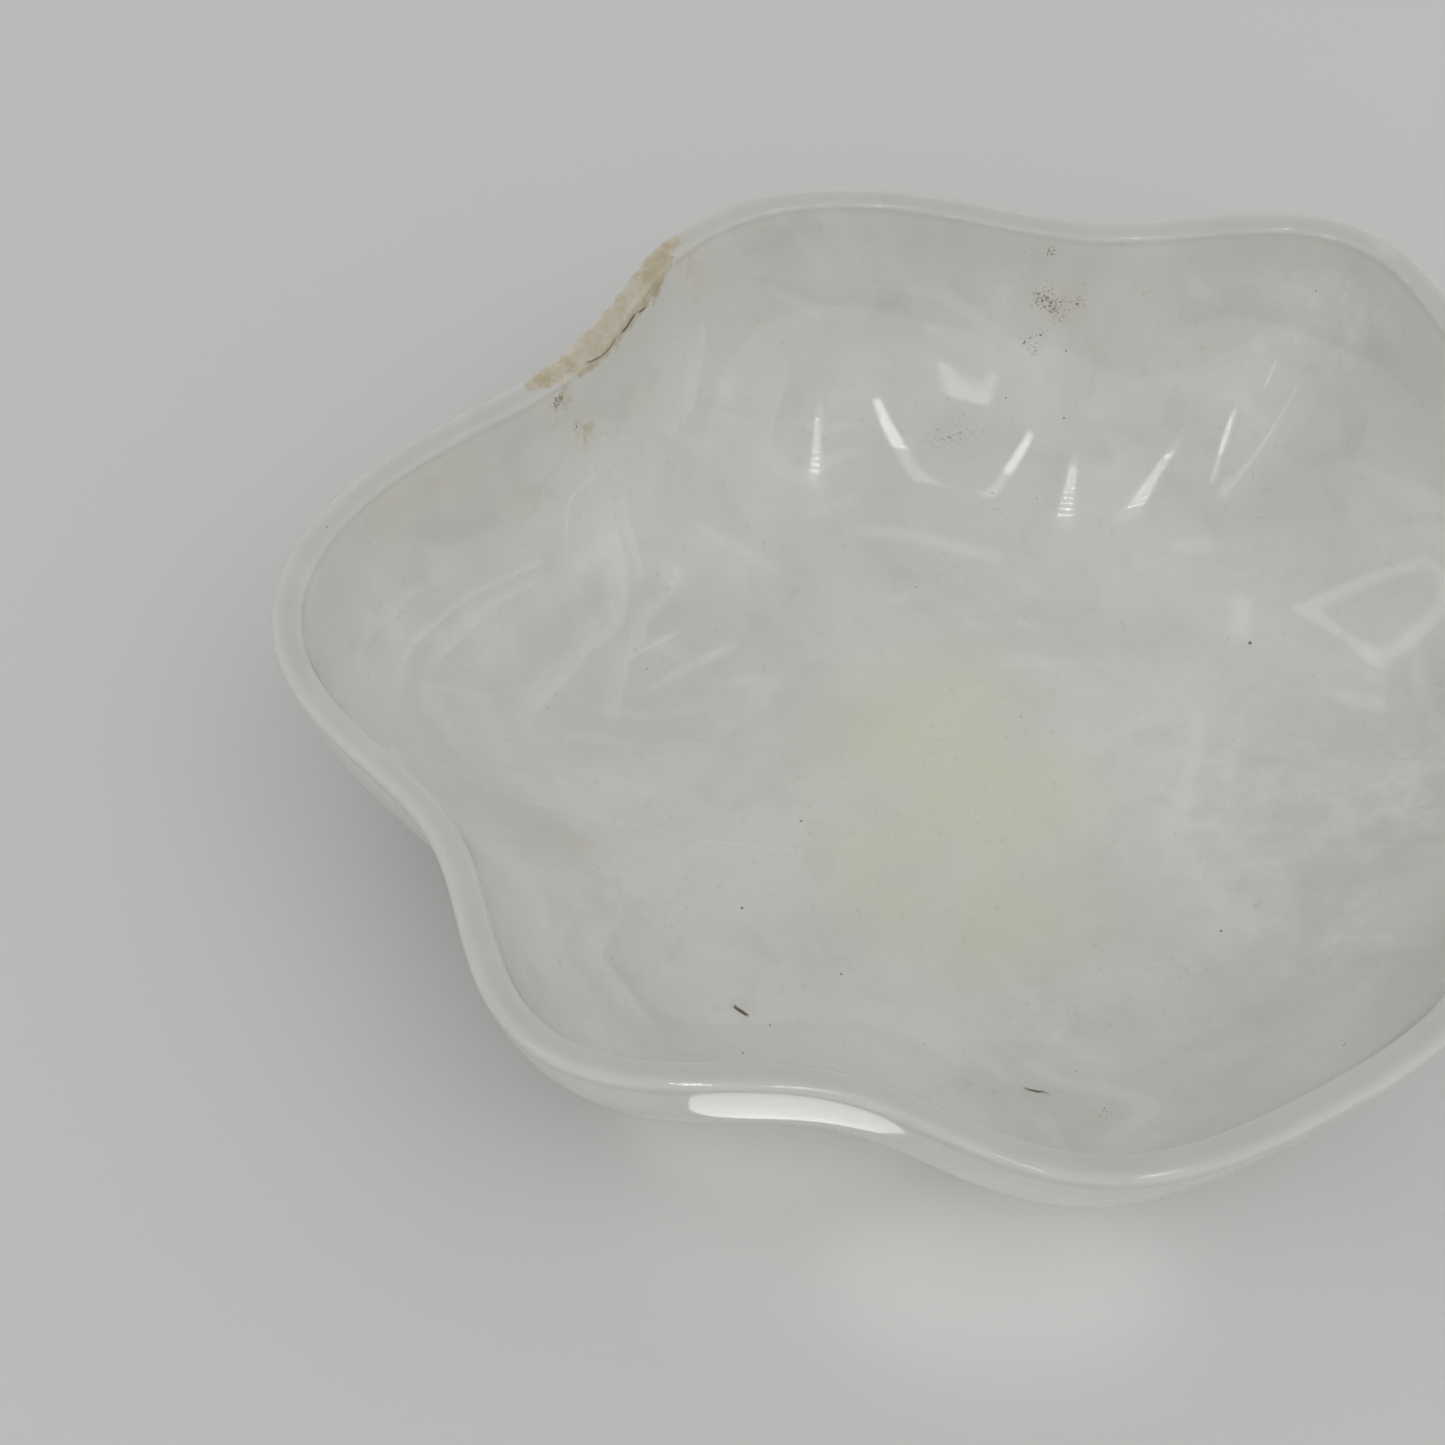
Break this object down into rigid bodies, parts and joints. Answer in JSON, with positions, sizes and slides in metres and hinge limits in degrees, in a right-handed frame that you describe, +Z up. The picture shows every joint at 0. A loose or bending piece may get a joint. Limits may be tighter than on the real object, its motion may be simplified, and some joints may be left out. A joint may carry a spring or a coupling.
{
  "type": "carved onyx dish",
  "caption": "Polished translucent onyx dish carved from one piece, with a lobed flaring wall, a flat-cut rounded rim and a flat foot",
  "frame": {"origin": "centre of the footprint box, on the underside of the flat foot", "axes": "+X along the long side, +Y across the short side, +Z up out of the hollow"},
  "size_m": [0.3008, 0.2542, 0.072],
  "materials": {
    "onyx": "polished translucent greenish-white onyx with milky banding, a gold-brown inclusion at the rim and fine dark specks"
  },
  "bodies": {
    "root": {"dish": "onyx"}
  },
  "joints": []
}
